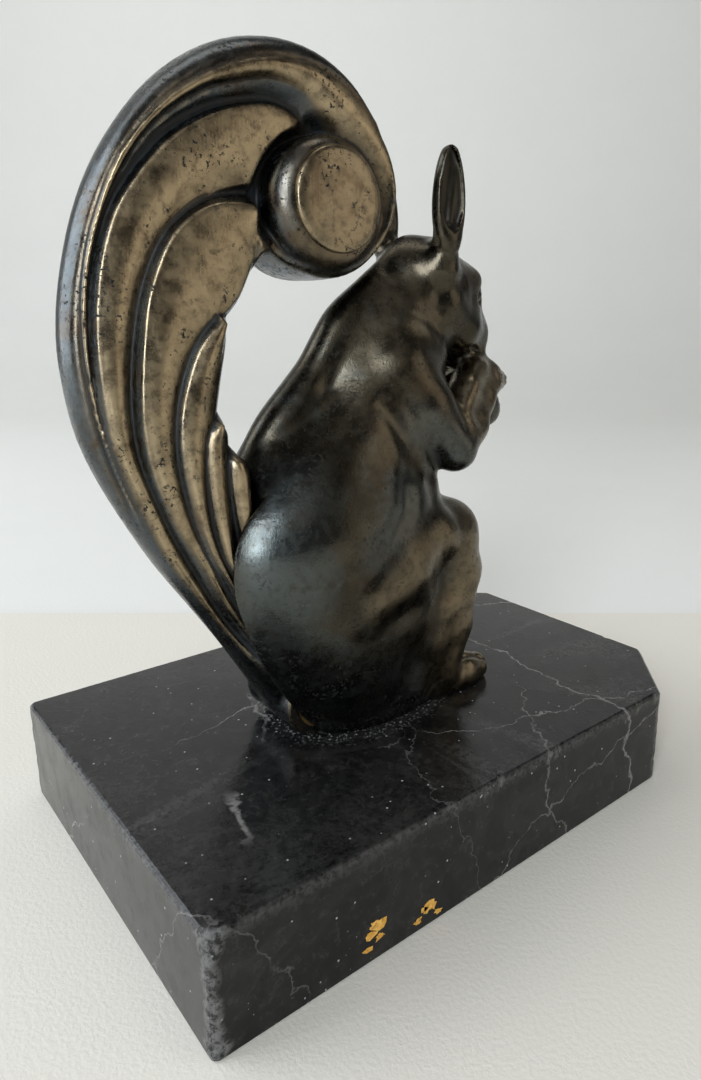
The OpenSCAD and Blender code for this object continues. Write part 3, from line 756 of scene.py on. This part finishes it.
# Each vein is a warped plane a*x + b*y + c*z = d in metres, with a width in millimetres and a strength,
# between two values of y.
VEINS = [
    (1.0, 0.0, 0.1, 0.05, 0.75, 0.5, -0.06, 0.012),
    (0.42, 0.91, 0.0, 0.0576, 0.6, 0.45, 0.019, 0.034),
    (0.97, -0.25, 0.0, -0.0396, 1.2, 0.42, -0.004, 0.02),
    (0.96, -0.29, 0.0, -0.0521, 1.3, 0.4, -0.038, -0.022),
    (0.8, -0.6, 0.2, 0.05, 0.45, 0.35, -0.06, -0.03),
    (0.3, 0.95, -0.9, -0.06, 0.4, 0.45, -0.059, -0.03),
    (-0.2, 0.9, 0.8, 0.042, 0.5, 0.45, 0.01, 0.059),
    (0.75, 0.66, 0.5, -0.086, 0.35, 0.25, -0.059, -0.01),
    (0.92, -0.39, 0.3, 0.008, 0.3, 0.15, -0.06, -0.01),
]


def marble():
    """Black marble with pale veins, specks, worn edges and rough bedding round the foot of the bronze."""
    p = Paint("black_marble")
    split = p.node("ShaderNodeSeparateXYZ")
    p.put(split.inputs[0], p.at)
    x, y, z = split.outputs
    cloud, fine = p.noise(16, 5, 0.65, 1.2), p.noise(1.4, 4, 0.7)
    col = p.mix(p.ramp(cloud, 0.4, 0.68), (0.0035, 0.0035, 0.004), (0.015, 0.0145, 0.014))
    col = p.mix(p.ramp(p.noise(2.6, 4, 0.75, 0.2), 0.46, 0.8), col, (0.028, 0.027, 0.0255))
    veins = 0.0
    bend, wobble = p.noise(30, 3, 0.55), p.noise(5, 3, 0.6)
    broken = p.noise(7, 4, 0.7)
    for a, b, c, d, width, strength, first, last in VEINS:
        e = p.plus(p.plus(p.times(x, a), p.times(y, b)), p.times(z, c))
        e = p.plus(p.math("SUBTRACT", e, d), p.times(p.math("SUBTRACT", bend, 0.5), 0.024))
        e = p.plus(e, p.times(p.math("SUBTRACT", wobble, 0.5), 0.006))
        line = p.ramp(p.math("ABSOLUTE", e), 0.001 * width, 0.0002 * width)
        here = p.times(p.ramp(y, first - 0.004, first + 0.004), p.ramp(y, last + 0.004, last - 0.004))
        here = p.times(here, p.ramp(broken, 0.34, 0.56, (0.15, 1.0)))
        veins = p.most(veins, p.times(p.times(line, here), strength))
    col = p.mix(veins, col, (0.42, 0.40, 0.38))
    specks = p.times(p.ramp(p.cells(3.4), 0.10, 0.05), p.ramp(p.noise(12, 2), 0.47, 0.54))
    dust = p.times(p.ramp(p.cells(1.7), 0.09, 0.05), p.ramp(p.noise(9, 2), 0.6, 0.66, (0.0, 0.6)))
    specks = p.most(specks, dust)
    col = p.mix(specks, col, (0.40, 0.40, 0.39))
    worn = p.times(p.attribute("worn"), p.ramp(fine, 0.35, 0.6))
    col = p.mix(worn, col, (0.14, 0.137, 0.133))
    # rough dark bedding round the foot of the bronze
    bed = p.times(p.attribute("bed"), p.ramp(p.noise(0.8, 2, 0.6), 0.56, 0.68))
    col = p.mix(bed, col, (0.22, 0.22, 0.21))
    rough = p.ramp(p.noise(7, 4, 0.7), 0.35, 0.7, (0.11, 0.26))
    rough = p.plus(rough, p.times(p.most(p.most(specks, worn), veins), 0.3))
    rough = p.plus(rough, p.times(p.attribute("bed"), 0.3))
    skin = p.bump(fine, 0.10, 0.0003, p.bump(p.most(worn, p.attribute("bed")), 0.3, 0.0004))
    return p.finish(Base_Color=col, Roughness=rough, Specular_IOR_Level=0.28, Normal=skin)


def paper():
    """Amber paper scraps, flaked and stained."""
    p = Paint("amber_paper")
    col = p.mix(p.ramp(p.noise(1.6, 3, 0.7), 0.35, 0.65), (0.62, 0.30, 0.035), (0.86, 0.52, 0.12))
    col = p.mix(p.ramp(p.noise(0.7, 2, 0.7), 0.6, 0.7), col, (0.10, 0.06, 0.02))
    rough = p.ramp(p.noise(1, 2), 0.3, 0.7, (0.5, 0.8))
    return p.finish(Base_Color=col, Roughness=rough, Normal=p.bump(p.noise(0.6), 0.4, 0.0002))


def turned(name, colour, tint, rough):
    """Machined metal with fine marks and light tarnish."""
    p = Paint(name)
    marks = p.noise(0.4, 2, 0.6, 0, p.stretch(1, 0.06, 1))
    tarnish = p.ramp(p.noise(3, 4, 0.65), 0.42, 0.7)
    col = p.mix(p.times(tarnish, 0.7), colour, tint)
    r = p.plus(p.ramp(marks, 0.3, 0.7, (rough, rough + 0.12)), p.times(tarnish, 0.15))
    return p.finish(Base_Color=col, Metallic=1.0, Roughness=r, Normal=p.bump(marks, 0.15, 0.0002))


def plain(name, colour, size, depth):
    """Painted or papered ground with a slight grain."""
    p = Paint(name)
    shade = p.ramp(p.noise(90, 4, 0.6), 0.3, 0.7, (0.97, 1.0))
    col = p.mix(shade, tuple(0.6 * c for c in colour), colour)
    return p.finish(Base_Color=col, Roughness=0.85, Normal=p.bump(p.noise(size, 3, 0.6), 0.35, depth))


# the body's worn colour also stands for painted light on the lit knee and shin, and its cool colour for a
# painted sheen on the rear haunch
BODY_MAT = bronze("body_bronze", dark=(0.042, 0.038, 0.030), brown=(0.078, 0.069, 0.050),
                  worn=(0.235, 0.190, 0.125), cool=(0.100, 0.118, 0.120), pitted=0.6, patchy=0.9)
TAIL_MAT = bronze("tail_bronze", dark=(0.055, 0.046, 0.036), brown=(0.135, 0.105, 0.070),
                  worn=(0.44, 0.350, 0.220), cool=(0.075, 0.092, 0.104), pitted=1.0, patchy=0.65)
STONE = marble()
SCRAP = paper()
BRASS = turned("washer_bronze", (0.42, 0.30, 0.13), (0.16, 0.10, 0.05), 0.28)
STEEL = turned("steel", (0.50, 0.50, 0.49), (0.22, 0.18, 0.14), 0.30)


# ---- Making the pieces ----

def rise(v, q, way, rounds=4):
    """How strongly the surface bulges (positive) or hollows (negative) at each vertex, per millimetre."""
    pairs = np.vstack([q[:, [i, (i + 1) % 4]] for i in range(4)])
    n = np.bincount(pairs[:, 0], minlength=len(v)).astype(float)
    n = np.maximum(n + np.bincount(pairs[:, 1], minlength=len(v)), 1)

    def spread(a):
        back = np.bincount(pairs[:, 1], a[pairs[:, 0]], len(v))
        return (np.bincount(pairs[:, 0], a[pairs[:, 1]], len(v)) + back) / n

    gap = np.stack([v[:, i] - spread(v[:, i]) for i in range(3)], 1)
    out = (gap * way).sum(1) / (STEP * STEP / 4)
    for _ in range(rounds):
        out = 0.5 * out + 0.5 * spread(out)
    return np.clip(out, -1, 1)


def near(v, balls, reach):
    """1 on the surface close to a limb's axis, falling to 0 at reach millimetres outside it."""
    return held(1 - limb([v[:, 0], np.abs(v[:, 1]), v[:, 2]], balls, 1) / reach)


def strongest(v, table):
    """The strongest of some marks along limbs, each with its strength and reach."""
    return np.max([strength * near(v, balls, reach) for strength, reach, balls in table], axis=0)


# Strength, reach and limb of the marks on the body: worn to bronze, with painted light on the lit knee and
# shin, and green, with a painted sheen on the rear haunch.
GOLDEN_WEAR_AND_LIGHT = [
    # knee, shin and feet: partly rubbed wear, partly painted light where the knee and shin are lit
    (0.85, 5, [(49, 14, 49, 7), (49.5, 15, 38, 7), (44, 17, 26, 7), (37, 18, 12, 5), (50, 14, 3, 6),
               (59, 13, 4, 5)]),
    (0.6, 5, [(11, 25, 40, 2), (25, 25, 47, 3), (38, 20, 51, 4)]),
    (0.75, 4, [(53, 13, 78, 5), (62, 8, 88, 6), (75, 4, 93, 5)]),
    (0.8, 4, [(50.5, 13.6, 83, 5.3), (56, 11.2, 89.8, 5.2), (62, 7.8, 94.6, 4.3)]),
    (0.2, 10, [(22, 12, 88, 10), (32, 8, 108, 10), (38, 6, 122, 8)]),
    (0.35, 5, [(59, 7, 123, 3), (64, 4, 116, 3)]),
]
GREEN_AND_SHEEN = [
    # rear haunch: painted sheen, a lighter cool metal laid where the window's highlight falls; the other two
    # are green in hollows
    (0.8, 9, [(-10, 15, 66, 7), (-14, 18, 46, 7)]),
    (0.5, 5, [(24, 21, 66, 4), (12, 25, 54, 4)]),
    (0.6, 5, [(30, 18, 84, 4), (44, 18, 74, 4)]),
]


def body_wear_and_light(v):
    """Where hands have worn the body to bronze, with painted light on the lit knee and shin, and where it is
    cool and green, with a painted sheen on the rear haunch.
    """
    gold = strongest(v, GOLDEN_WEAR_AND_LIGHT)
    low = np.interp(v[:, 0], [-18, -10, -2, 5.6, 14, 22, 34], [40, 40, 33, 27, 22.4, 22, 12])
    cool = 0.75 * held((low - v[:, 2]) / 8 + 0.4) * (1 - gold)
    return gold, np.maximum(cool, strongest(v, GREEN_AND_SHEEN))


def new_object(name, data):
    """A new object in the scene."""
    o = bpy.data.objects.new(name, data)
    bpy.context.scene.collection.objects.link(o)
    return o


def set_values(me, values):
    """Stores numbers for each vertex, which the materials read."""
    for key, val in values.items():
        me.attributes.new(key, "FLOAT", "POINT").data.foreach_set("value", np.asarray(val, np.float32))


def mesh_piece(name, verts, faces, mat, body, nodes, values, shared=None):
    """A piece from vertices in figure millimetres; values are per-vertex numbers, shared are its normals."""
    me = bpy.data.meshes.new(name)
    me.from_pydata((np.asarray(verts, float) * 0.001 + FIGURE_AT).tolist(), [], faces)
    set_values(me, values)
    me.shade_smooth()
    if shared is not None:
        me.normals_split_custom_set_from_vertices(shared.tolist())
    me.materials.append(mat)
    o = new_object(name, me)
    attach(o, body)
    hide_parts(*nodes)


STEP = 0.5
v, q = nets(figure, (-31, -30, -2.5), (84, 30, 158), STEP)
v = settle(figure, v, STEP * 0.6)
v, label = split(v, q, figure, REGIONS)
way = normals(v, q)
bulge = rise(v, q, way)
gold, cool = body_wear_and_light(v)
# little wear on the slot's edges; the ears' hollows stay dark
x, y, z = v.T
slot_edge = (np.abs(np.abs(y) - SLOT_HALF) < 2.5) & (slot_side(x, z) < 2.5) & (z < 82)
bulge = np.where(slot_edge, np.minimum(bulge, 0.06), bulge)
outward = held(way[:, 1] * np.sign(y) * 3 - 1)
in_ear = held((z - 129) / 6) * (np.abs(x - 44) < 4.6) * outward
bulge = np.minimum(bulge, 0.2) * (1 - in_ear) + np.minimum(bulge, -0.22) * in_ear
for i, (name, _) in enumerate(REGIONS):
    w, f, caps, used = take(v, q, label == i)
    add = len(w) - len(used)
    # the pieces share one set of normals, so that no seam shows where they are brazed together
    values = {k: np.r_[a[used], np.zeros(add)] for k, a in (("gold", gold), ("cool", cool), ("rise", bulge))}
    mesh_piece(name + "_casting", w, [tuple(r) for r in f] + [tuple(c[:3]) for c in caps], BODY_MAT, "figure",
               [name], values, np.vstack([way[used], np.zeros((add, 3))]))

v, q = nets(tail, (-57, -18, -1), (32.5, 18, 174), STEP)
v = settle(tail, v, STEP * 0.5, 1)
way = normals(v, q)
x, y, z = v.T
side = held((np.abs(way[:, 1]) - 0.45) / 0.3)
on_drum = np.hypot(x - BUN[0], z - BUN[1]) < BUN_R + 0.6
gold = on_grid(tail_face, x, z) * side * np.where(on_drum, 0, 1) * held((z - 22) / 30)
gold = np.maximum(gold, 0.15 * on_drum * held((np.abs(y) - 11) / 2))
cool = np.maximum(on_grid(tail_rim, x, z), 1 - side) * held(1 - gold * 2)
mesh_piece("tail_casting", v, [tuple(r) for r in q], TAIL_MAT, "tail", ["tail_lever"],
           {"gold": gold, "cool": cool, "rise": rise(v, q, way, 2)})


def tube_faces(n, rings):
    """Faces between rings of n vertices each, numbered ring after ring."""
    return [(i * n + k, i * n + (k + 1) % n, (i + 1) * n + (k + 1) % n, (i + 1) * n + k)
            for i in range(rings - 1) for k in range(n)]


def lathe(profile, n, place):
    """Rings of (radius, height) turned about an axis; place maps (u, v, height) to figure millimetres."""
    verts = []
    for r, h in profile:
        for k in range(n):
            a = 2 * math.pi * k / n
            verts.append(place(r * math.cos(a), r * math.sin(a), h))
    faces = tube_faces(n, len(profile))
    first, last = len(verts), len(verts) + 1
    verts += [place(0, 0, profile[0][1]), place(0, 0, profile[-1][1])]
    for k in range(n):
        m = (k + 1) % n
        faces.append((first, m, k))
        faces.append((last, (len(profile) - 1) * n + k, (len(profile) - 1) * n + m))
    return verts, faces


# the roundels: slightly crowned discs let into the drum, as radius and distance from the middle
DISC = [(12, 11.2), (12, 14.5), (11.85, 14.95), (11.5, 15.25), (10.8, 15.5), (9.2, 15.72), (6.6, 15.88),
        (3, 15.95), (1, 15.95)]
for name, s in (("left_roundel", 1), ("right_roundel", -1)):
    verts, faces = lathe(DISC, 96, lambda a, b, h: (DRUM[0] + a, s * h, DRUM[1] + b * s))
    faces = [f[::-1] for f in faces]
    n = len(verts)
    mesh_piece(name + "_disc", verts, faces, TAIL_MAT, "tail", [name],
               {"gold": np.full(n, 0.7), "cool": np.zeros(n), "rise": np.zeros(n)})

# the nut between the paws: long, with a blunt point below
NUT_AT = np.array([71.6, 0, 85.0])
NUT_ALONG, NUT_SIDE = np.array([0.44, 0, -0.898]), np.array([0.898, 0, 0.44])
NUT_R, NUT_HALF = 5.7, 8.0
NUT = [(NUT_R * math.sin(t) ** 0.92 * (1 - 0.16 * math.cos(t)), -NUT_HALF * math.cos(t))
       for t in np.linspace(0.08, math.pi - 0.08, 22)]


def on_nut(a, b, h):
    return tuple(NUT_AT + NUT_ALONG * h + NUT_SIDE * a * (1 + 0.03 * math.sin(3 * h)) + np.array([0, b, 0]))


verts, faces = lathe(NUT, 40, on_nut)
n = len(verts)
mesh_piece("held_nut_shell", verts, faces, BODY_MAT, "figure", ["held_nut"],
           {"gold": np.full(n, 0.1), "cool": np.full(n, 0.5), "rise": np.full(n, -0.1)})


# ---- The slab ----

SLAB = [(-86.5, -58.5), (64.5, -58.5), (86.5, -36.5), (86.5, 36.5), (64.5, 58.5), (-86.5, 58.5)]
SCRAPS = [(-46.1, 8.8, 3.0), (-47.9, 7.4, 1.8), (-48.7, 4.1, 1.4), (-45.3, 5.8, 1.5), (-30.1, 5.3, 2.4),
          (-27.5, 2.6, 1.4), (-33.9, 3.2, 1.3), (-32.1, 5.5, 1.2)]  # X, height and size of each
SCRAP_BACK, SCRAP_FACE = -58.40, -58.58
WORN = [1.9, 0.9, 0.8, 0.8, 1.0, 1.5]  # how far each upright corner is worn away
THICK, BEVEL, BORE_DEEP = 30.0, 0.9, 12.0
BORES = [(x - BEHIND, 8.5, 3.5) for x in (18, 38)]  # X, counterbore and bore radius
FOOT_AT, FOOT_HALF = np.array([-9.5, 0]), (26.5, 22)  # the bronze's foot
AROUND = 96
# How far each ring of the bedding lies outside that foot, its height, and how much of it is rough cement.
BEDDING = [(5.0, 0.0, 0.0), (1.6, 0.0, 0.5), (0.6, 0.35, 1.0), (-0.6, 0.6, 1.0), (-2.2, 0.5, 1.0)]


def slab_outline(z, pull):
    """The slab's outline at height z, drawn in by pull, with its corners worn and chipped."""
    rng = np.random.default_rng(5)
    c = np.array(SLAB)
    n = len(c)
    cuts = []
    for i in range(n):
        phase = rng.uniform(0, 6, 4)
        chip = sum(math.sin(z * f + g) for f, g in zip((0.35, 0.8, 1.7, 3.1), phase)) / 4
        cut = WORN[i] * (0.75 + 0.8 * max(chip, -0.4)) + 0.5 * pull
        more = 0.9 * math.exp(-((z - 2) / 3) ** 2) * (i == 0)  # the rear right corner has lost its foot
        cuts.append(cut * (1 + more + 0.6 * math.exp(-((z - THICK) / 4) ** 2)))
    pts, edge = [], []
    for i in range(n):
        a, b, d = c[i - 1], c[i], c[(i + 1) % n]
        u, w = (a - b) / np.linalg.norm(a - b), (d - b) / np.linalg.norm(d - b)
        for t in np.linspace(0, 1, 5):
            pts.append(b + cuts[i] * (u * (1 - t) ** 1.6 + w * t ** 1.6))
            edge.append(1.0)
        e, g = b + w * cuts[i], d - w * cuts[(i + 1) % n]
        m = int(np.linalg.norm(d - b) / 1.6)
        for j in range(1, m):
            pts.append(e + (g - e) * j / m)
            edge.append(0.0)
    pts = np.array(pts)
    return pts + pull * inward(pts), np.array(edge)


def inward(pts):
    """Unit vectors across a closed outline, towards its inside."""
    t = np.roll(pts, -1, 0) - np.roll(pts, 1, 0)
    t /= np.linalg.norm(t, axis=1, keepdims=True)
    return np.stack([-t[:, 1], t[:, 0]], 1)


def ripple(pts, seed, sizes):
    """Smooth random numbers from about -1 to 1 along an outline."""
    rng = np.random.default_rng(seed)
    out = np.zeros(len(pts))
    for size in sizes:
        k = rng.normal(size=(6, 2))
        k /= np.linalg.norm(k, axis=1, keepdims=True)
        out += np.sin(pts @ k.T * 6.28 / size + rng.uniform(0, 6, 6)).sum(1) / 6
    return out / len(sizes) * 1.6


def slab_mesh():
    """The sides and worn top edges: the mesh, its wear and bed values, and its top and bottom rings."""
    ref, _ = slab_outline(THICK - 3, 0)
    chips = held(ripple(ref, 11, (9, 4.5, 2.4)) - 0.45)
    fine = held(ripple(ref, 12, (3, 1.7))) * 0.25
    rings, worn = [], []
    levels = [(0, 0.5)] + [(z, 0) for z in np.arange(0.5, THICK - 2.5, 1.5)]
    for z, pull in levels:
        p, e = slab_outline(z, pull)
        rings.append(np.c_[p, np.full(len(p), z)])
        worn.append(np.maximum(e * 0.9, 1.0 if z == 0 else 0))
    p, e = slab_outline(THICK - 2, 0)
    drop = BEVEL + fine + 1.5 * chips
    rings.append(np.c_[p, THICK - drop - 0.05])
    worn.append(np.maximum(e, 0.3 + 0.7 * (chips > 0)))
    for share, deep in ((0.45, 0.42), (1.0, 0.0)):
        reach = (BEVEL + 0.8 * fine + 1.3 * chips)[:, None]
        rings.append(np.c_[p + inward(p) * reach * share, THICK - drop * deep])
        worn.append(np.maximum(e, 0.3 + 0.7 * (chips > 0)) * (0.8 if deep else 0.3))
    n = len(rings[0])
    verts = list(map(tuple, np.vstack(rings)))
    worn = list(np.concatenate(worn))
    bed = [0.0] * len(verts)
    bm = bmesh.new()
    made = [bm.verts.new(c) for c in verts]
    for f in tube_faces(n, len(rings)):
        bm.faces.new([made[k] for k in f])
    return bm, worn, bed, made[-n:], made[:n]


def ring_of(bm, x, r, z, n=AROUND // 2):
    """New vertices round a circle on the slab's middle line."""
    return [bm.verts.new((x + r * math.cos(2 * math.pi * k / n), r * math.sin(2 * math.pi * k / n), z))
            for k in range(n)]


def bridge(bm, a, b):
    """Faces between two rings with as many vertices each."""
    n = len(a)
    for k in range(n):
        m = (k + 1) % n
        bm.faces.new((a[k], a[m], b[m], b[k]))


def close_loop(bm, ring):
    """The edges round a ring, made where they are missing."""
    return [bm.edges.get(pair) or bm.edges.new(pair) for pair in zip(ring, ring[1:] + ring[:1])]


def fill(bm, *rings):
    """A flat face with holes, in triangles."""
    edges = [e for ring in rings for e in close_loop(bm, ring)]
    bmesh.ops.triangle_fill(bm, use_beauty=True, use_dissolve=False, edges=edges)


bm, worn, bed, top, bottom = slab_mesh()
# the top runs in to the bronze's foot, and to the bed of cement that squeezed out round it
foot = []
for k in range(AROUND):
    ca, sa = math.cos(2 * math.pi * k / AROUND), math.sin(2 * math.pi * k / AROUND)
    r = 1 / ((abs(ca) / FOOT_HALF[0]) ** 2.2 + (abs(sa) / FOOT_HALF[1]) ** 2.2) ** (1 / 2.2)
    foot.append((FOOT_AT[0] + r * ca, r * sa))
foot = np.array(foot)
out = foot - FOOT_AT
out /= np.linalg.norm(out, axis=1, keepdims=True)
loops = []
for grow, z, cement in BEDDING:
    jag = 1 + 0.5 * ripple(foot, 21, (5, 2.6))[:, None] * (0 < z)
    pos = foot + out * grow * jag
    clear = (pos[:, 0] < -18) & (np.abs(pos[:, 1]) < 14.5)  # leaves room for the tail's heel
    up = THICK + np.where(clear & (z > 0), 0.02, z)
    loops.append([bm.verts.new(c) for c in np.c_[pos, up]])
    bed += [cement] * AROUND
    worn += [0.0] * AROUND
for a, b in zip(loops, loops[1:]):
    bridge(bm, a, b)
bm.faces.new(loops[-1])
fill(bm, top, loops[0])
# the underside, with its two counterbored holes
holes = []
for x, wide, narrow in BORES:
    steps = ((wide, 0), (wide, BORE_DEEP), (narrow, BORE_DEEP), (narrow, THICK - 0.5))
    bore = [ring_of(bm, x, r, z) for r, z in steps]
    for a, b in zip(bore, bore[1:]):
        bridge(bm, a, b)
    bm.faces.new(bore[-1])
    holes.append(bore[0])
    worn += [0.3] * 2 * AROUND
    bed += [0.0] * 2 * AROUND
fill(bm, bottom, *holes)
bmesh.ops.recalc_face_normals(bm, faces=bm.faces)
me = bpy.data.meshes.new("marble_block")
bm.verts.index_update()
bm.to_mesh(me)
bm.free()
me.transform(Matrix.Scale(0.001, 4))
set_values(me, {"worn": worn, "bed": bed})
me.materials.append(STONE)
block = new_object("marble_block", me)
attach(block, "figure")
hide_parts("marble_slab")

# scraps of amber paper left on the right side face, each a flat flake of random outline
POINTS = 14
rng = np.random.default_rng(8)
verts, faces = [], []
for x, z, size in SCRAPS:
    a = np.sort(rng.uniform(0, 2 * math.pi, POINTS))
    r = size * rng.uniform(0.45, 1.0, POINTS)
    rim, face = len(verts), len(verts) + POINTS
    for y in (SCRAP_BACK, SCRAP_FACE):
        verts += [(x + 1.3 * q * math.cos(t), y, z + 0.8 * q * math.sin(t)) for q, t in zip(r, a)]
    verts.append((x, SCRAP_FACE, z))
    for k in range(POINTS):
        m = (k + 1) % POINTS
        faces += [(rim + k, rim + m, face + m, face + k), (face + k, face + m, face + POINTS)]
me = bpy.data.meshes.new("amber_scraps")
me.from_pydata((np.array(verts) * 0.001).tolist(), [], faces)
me.materials.append(SCRAP)
scraps = new_object("amber_scraps", me)
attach(scraps, "figure")


def node_material(name):
    """The material of a node that comes from the CAD."""
    if name == "marble_slab":
        return STONE
    if "friction" in name:
        return BRASS
    if "roundel" in name or name == "tail_lever":
        return TAIL_MAT
    if any(k in name for k in ("stud", "nut", "washer", "pin")) and name != "held_nut" and "plug" not in name:
        return STEEL
    return BODY_MAT


for name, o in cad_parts.items():
    for s in o.material_slots:
        s.material = node_material(name)


# ---- Stage, light and camera ----

YAW, PITCH = math.radians(50.09), math.radians(14.67)
AHEAD = np.array([math.cos(YAW), math.sin(YAW), 0])
ACROSS = np.array([math.sin(YAW), -math.cos(YAW), 0])


def stage_at(ahead, across, up):
    """A place in metres, as the camera sees it: ahead, to the right and up from the slab's middle."""
    return tuple(AHEAD * ahead + ACROSS * across + np.array([0, 0, up]))


def ground(name, sweep, half, colour, grain, depth):
    """A sheet that follows the sweep's (ahead, up) points and reaches half metres to each side."""
    me = bpy.data.meshes.new(name)
    me.from_pydata([stage_at(a, s, z) for a, z in sweep for s in (-half, half)], [],
                   [(2 * i, 2 * i + 1, 2 * i + 3, 2 * i + 2) for i in range(len(sweep) - 1)])
    me.shade_smooth()
    me.materials.append(plain(name, colour, grain, depth))
    o = new_object(name, me)


ground("table", [(-2, 0), (0.135, 0)], 2, (0.82, 0.785, 0.71), 1.2, 0.0004)
# the room: a floor that curves up into a wall
ROOM = [(-3, -0.002), (0.9, -0.002), (1.15, 0.03), (1.35, 0.12), (1.5, 0.28), (1.58, 0.5), (1.6, 0.8),
        (1.6, 3)]
ground("backdrop", ROOM, 4, (0.83, 0.83, 0.80), 2.0, 0.0003)

# the camera's place, turn and lens are solved from the slab's straight edges
cam = bpy.data.cameras.new("camera")
cam.sensor_width = 36
cam.sensor_fit = "AUTO"
cam.lens = 25.63
cam.shift_x, cam.shift_y = -0.0505, -0.0226
cam.clip_start = 0.01
eye = new_object("camera", cam)
eye.location = (-0.13354, -0.17282, 0.14198)
look = Vector((math.cos(PITCH) * math.cos(YAW), math.cos(PITCH) * math.sin(YAW), -math.sin(PITCH)))
eye.rotation_euler = look.to_track_quat("-Z", "Y").to_euler()
bpy.context.scene.camera = eye


def lamp(name, at, aim, size, power, colour):
    """A rectangular light at a place, which faces another; power in watts."""
    light = bpy.data.lights.new(name, "AREA")
    light.shape = "RECTANGLE"
    light.size, light.size_y = size
    light.energy = power
    light.color = colour
    o = new_object(name, light)
    o.location = at
    o.rotation_euler = (Vector(aim) - Vector(at)).to_track_quat("-Z", "Y").to_euler()


lamp("window", stage_at(-0.15, -1.35, 0.62), (0, 0, 0.10), (1.2, 1.3), 20, (0.90, 0.95, 1.0))
lamp("window_left", stage_at(-1.15, -0.32, 0.56), (0, 0, 0.08), (0.42, 1.0), 13.5, (0.86, 0.93, 1.0))
lamp("room", stage_at(-0.3, 1.5, 0.55), (0, 0, 0.08), (1.0, 1.3), 3.6, (1.0, 0.92, 0.80))
lamp("lamp_behind", stage_at(-1.6, 0.5, 1.4), (0, 0, 0.08), (1.2, 1.2), 1.6, (1.0, 0.95, 0.88))
lamp("wall_wash", stage_at(0.35, -0.5, 1.7), stage_at(1.6, 0, 0.35), (2.4, 0.8), 10.5, (1.0, 0.99, 0.96))
world = bpy.data.worlds.new("world")
bpy.context.scene.world = world
world.use_nodes = True
sky = world.node_tree.nodes["Background"]
sky.inputs["Color"].default_value = (0.70, 0.71, 0.72, 1)
sky.inputs["Strength"].default_value = 0.11
bpy.context.scene.view_settings.view_transform = "Standard"
